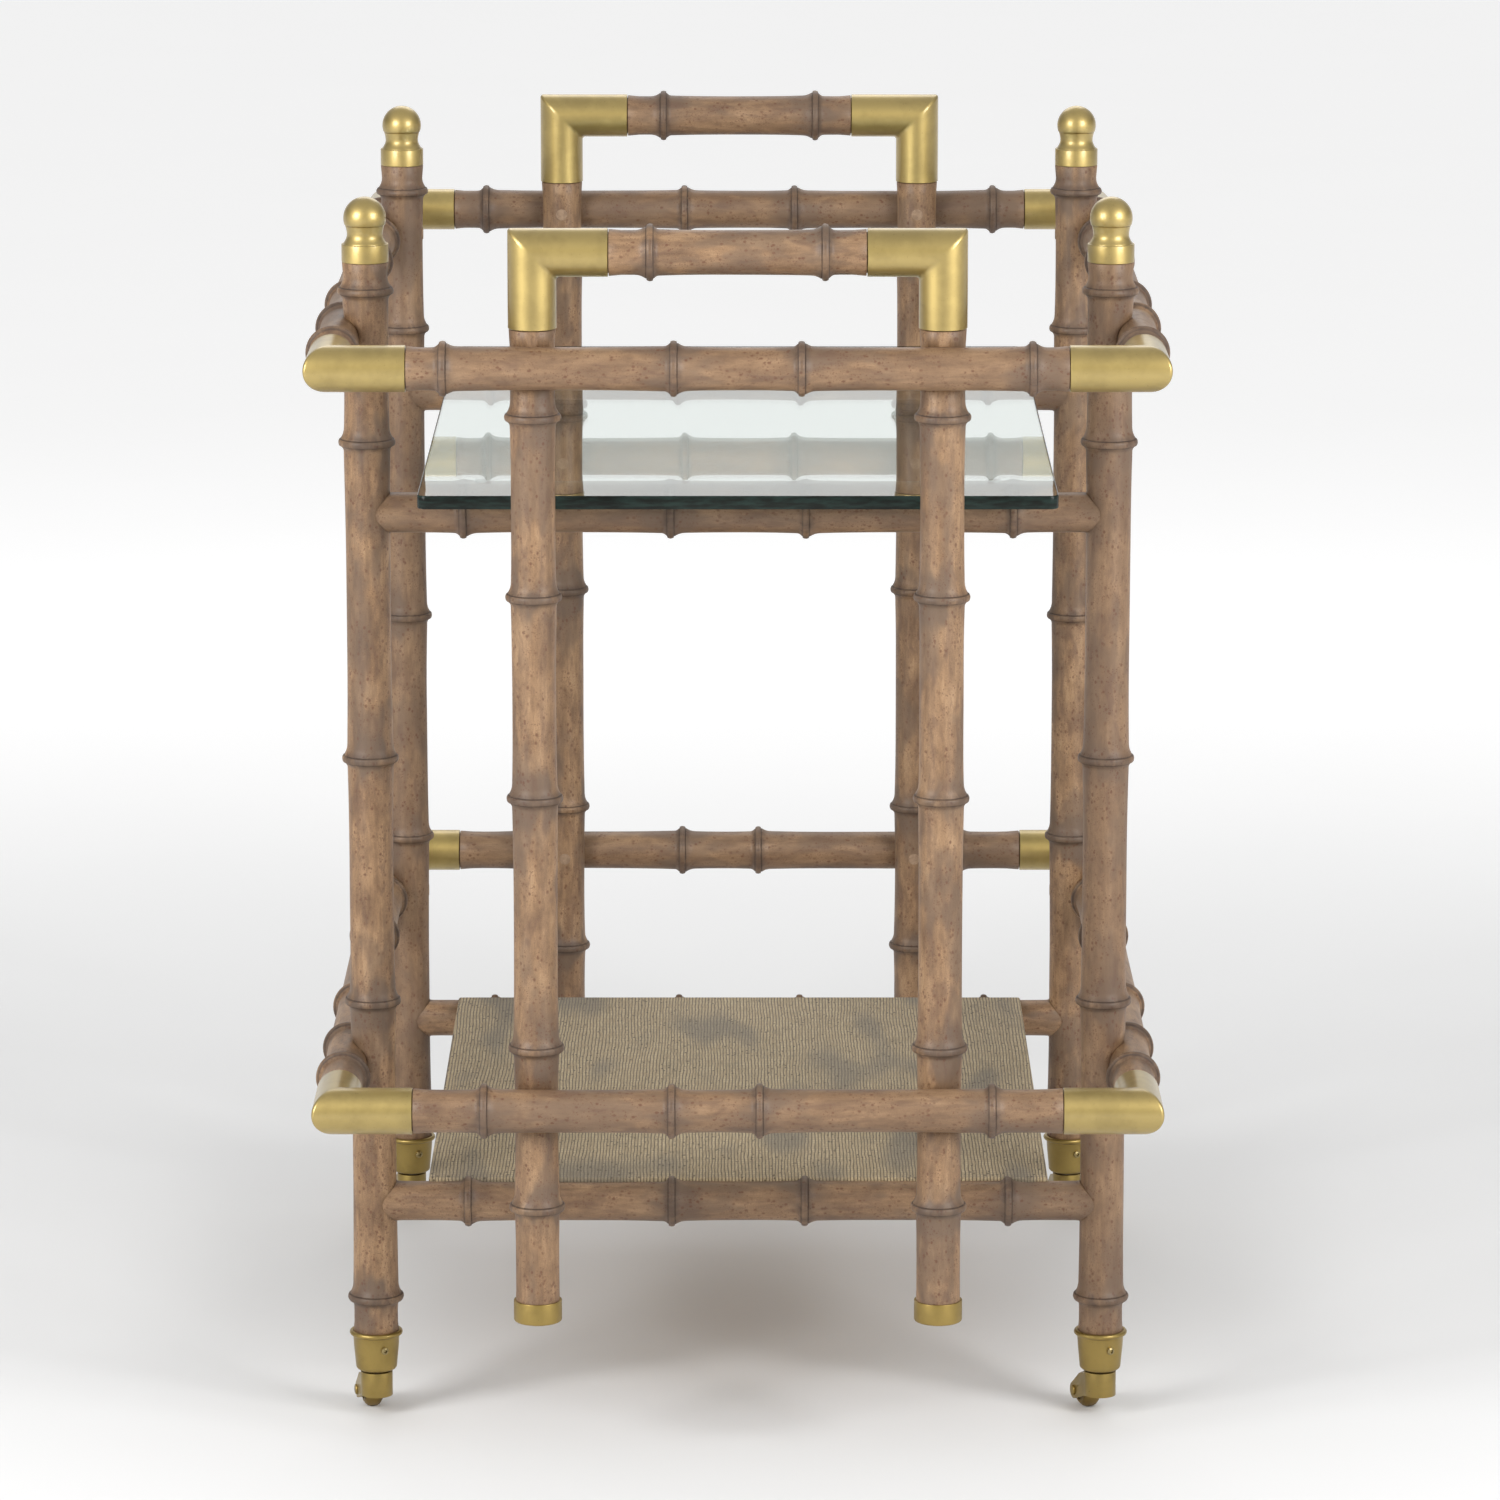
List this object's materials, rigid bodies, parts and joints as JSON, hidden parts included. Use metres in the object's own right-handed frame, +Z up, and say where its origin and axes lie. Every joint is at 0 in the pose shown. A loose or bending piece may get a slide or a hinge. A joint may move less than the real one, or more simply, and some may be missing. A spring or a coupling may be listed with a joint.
{
  "type": "bar cart",
  "caption": "Rolling bar cart with bamboo-turned wooden rods, brass elbows, finials and swivel casters, a glass shelf inside a gallery rail and a cloth-covered lower shelf.",
  "frame": {"origin": "on the floor under the middle of the cart", "axes": "+Z up, X across the cart, Y along it, with the near handle at -Y"},
  "size_m": [0.5948, 0.8846, 0.8806],
  "materials": {
    "bamboo_wood": "turned hardwood, stained tan with a grey-mauve glaze near the rings, satin lacquer",
    "satin_brass": "satin brass, fine brushed",
    "caster_brass": "satin cast brass, slightly darkened",
    "screw_brass": "plain brass screw heads",
    "hidden_steel": "plain steel",
    "shelf_glass": "clear float glass with dark green edges, arrissed",
    "clear_bumper": "clear soft bumper",
    "board_wood": "plain plywood core",
    "grasscloth": "fine ribbed grasscloth, beige-olive with darker patches",
    "dowel_wood": "plain hardwood dowel",
    "plug_wood": "stained wooden plug"
  },
  "bodies": {
    "frame": {"post_left_near": "bamboo_wood", "post_left_far": "bamboo_wood", "post_right_near": "bamboo_wood", "post_right_far": "bamboo_wood", "gallery_rail_near": "bamboo_wood", "gallery_rail_far": "bamboo_wood", "gallery_rail_left": "bamboo_wood", "gallery_rail_right": "bamboo_wood", "stretcher_rail_near": "bamboo_wood", "stretcher_rail_far": "bamboo_wood", "stretcher_rail_left": "bamboo_wood", "stretcher_rail_right": "bamboo_wood", "handle_leg_left_near": "bamboo_wood", "handle_leg_left_far": "bamboo_wood", "handle_leg_right_near": "bamboo_wood", "handle_leg_right_far": "bamboo_wood", "handle_grip_near": "bamboo_wood", "handle_grip_far": "bamboo_wood", "glass_rail_near": "bamboo_wood", "glass_rail_far": "bamboo_wood", "shelf_rail_near": "bamboo_wood", "shelf_rail_far": "bamboo_wood", "gallery_elbow_left_near": "satin_brass", "gallery_elbow_left_far": "satin_brass", "gallery_elbow_right_near": "satin_brass", "gallery_elbow_right_far": "satin_brass", "stretcher_elbow_left_near": "satin_brass", "stretcher_elbow_left_far": "satin_brass", "stretcher_elbow_right_near": "satin_brass", "stretcher_elbow_right_far": "satin_brass", "handle_elbow_left_near": "satin_brass", "handle_elbow_left_far": "satin_brass", "handle_elbow_right_near": "satin_brass", "handle_elbow_right_far": "satin_brass", "leg_end_caps": "satin_brass", "finials": "satin_brass", "caster_cups": "satin_brass", "caster_stems": "hidden_steel", "lap_screws": "hidden_steel", "shelf_screws": "hidden_steel", "finial_studs": "hidden_steel", "cup_screws": "screw_brass", "glass_shelf": "shelf_glass", "glass_bumpers": "clear_bumper", "lower_shelf_board": "board_wood", "lower_shelf_cloth": "grasscloth", "rail_dowels": "dowel_wood", "screw_plugs": "plug_wood"},
    "swivel_left_near": {"caster_fork_left_near": "caster_brass", "caster_axle_left_near": "hidden_steel"},
    "wheel_left_near": {"caster_wheel_left_near": "caster_brass"},
    "swivel_left_far": {"caster_fork_left_far": "caster_brass", "caster_axle_left_far": "hidden_steel"},
    "wheel_left_far": {"caster_wheel_left_far": "caster_brass"},
    "swivel_right_near": {"caster_fork_right_near": "caster_brass", "caster_axle_right_near": "hidden_steel"},
    "wheel_right_near": {"caster_wheel_right_near": "caster_brass"},
    "swivel_right_far": {"caster_fork_right_far": "caster_brass", "caster_axle_right_far": "hidden_steel"},
    "wheel_right_far": {"caster_wheel_right_far": "caster_brass"}
  },
  "joints": [
    {"name": "swivel_left_near", "type": "hinge", "parent": "frame", "child": "swivel_left_near", "pos_m": [-0.26, -0.2772, 0.02], "axis": [0, 0, 1], "continuous": true},
    {"name": "roll_left_near", "type": "hinge", "parent": "swivel_left_near", "child": "wheel_left_near", "pos_m": [-0.26457, -0.25568, 0.0127], "axis": [0.9781, 0.2079, 0], "continuous": true},
    {"name": "swivel_left_far", "type": "hinge", "parent": "frame", "child": "swivel_left_far", "pos_m": [-0.26, 0.2772, 0.02], "axis": [0, 0, 1], "continuous": true},
    {"name": "roll_left_far", "type": "hinge", "parent": "swivel_left_far", "child": "wheel_left_far", "pos_m": [-0.26643, 0.29824, 0.0127], "axis": [0.9563, 0.2924, 0], "continuous": true},
    {"name": "swivel_right_near", "type": "hinge", "parent": "frame", "child": "swivel_right_near", "pos_m": [0.26, -0.2772, 0.02], "axis": [0, 0, 1], "continuous": true},
    {"name": "roll_right_near", "type": "hinge", "parent": "swivel_right_near", "child": "wheel_right_near", "pos_m": [0.25212, -0.25666, 0.0127], "axis": [0.9336, 0.3584, 0], "continuous": true},
    {"name": "swivel_right_far", "type": "hinge", "parent": "frame", "child": "swivel_right_far", "pos_m": [0.26, 0.2772, 0.02], "axis": [0, 0, 1], "continuous": true},
    {"name": "roll_right_far", "type": "hinge", "parent": "swivel_right_far", "child": "wheel_right_far", "pos_m": [0.25656, 0.29893, 0.0127], "axis": [0.9877, 0.1564, 0], "continuous": true}
  ]
}
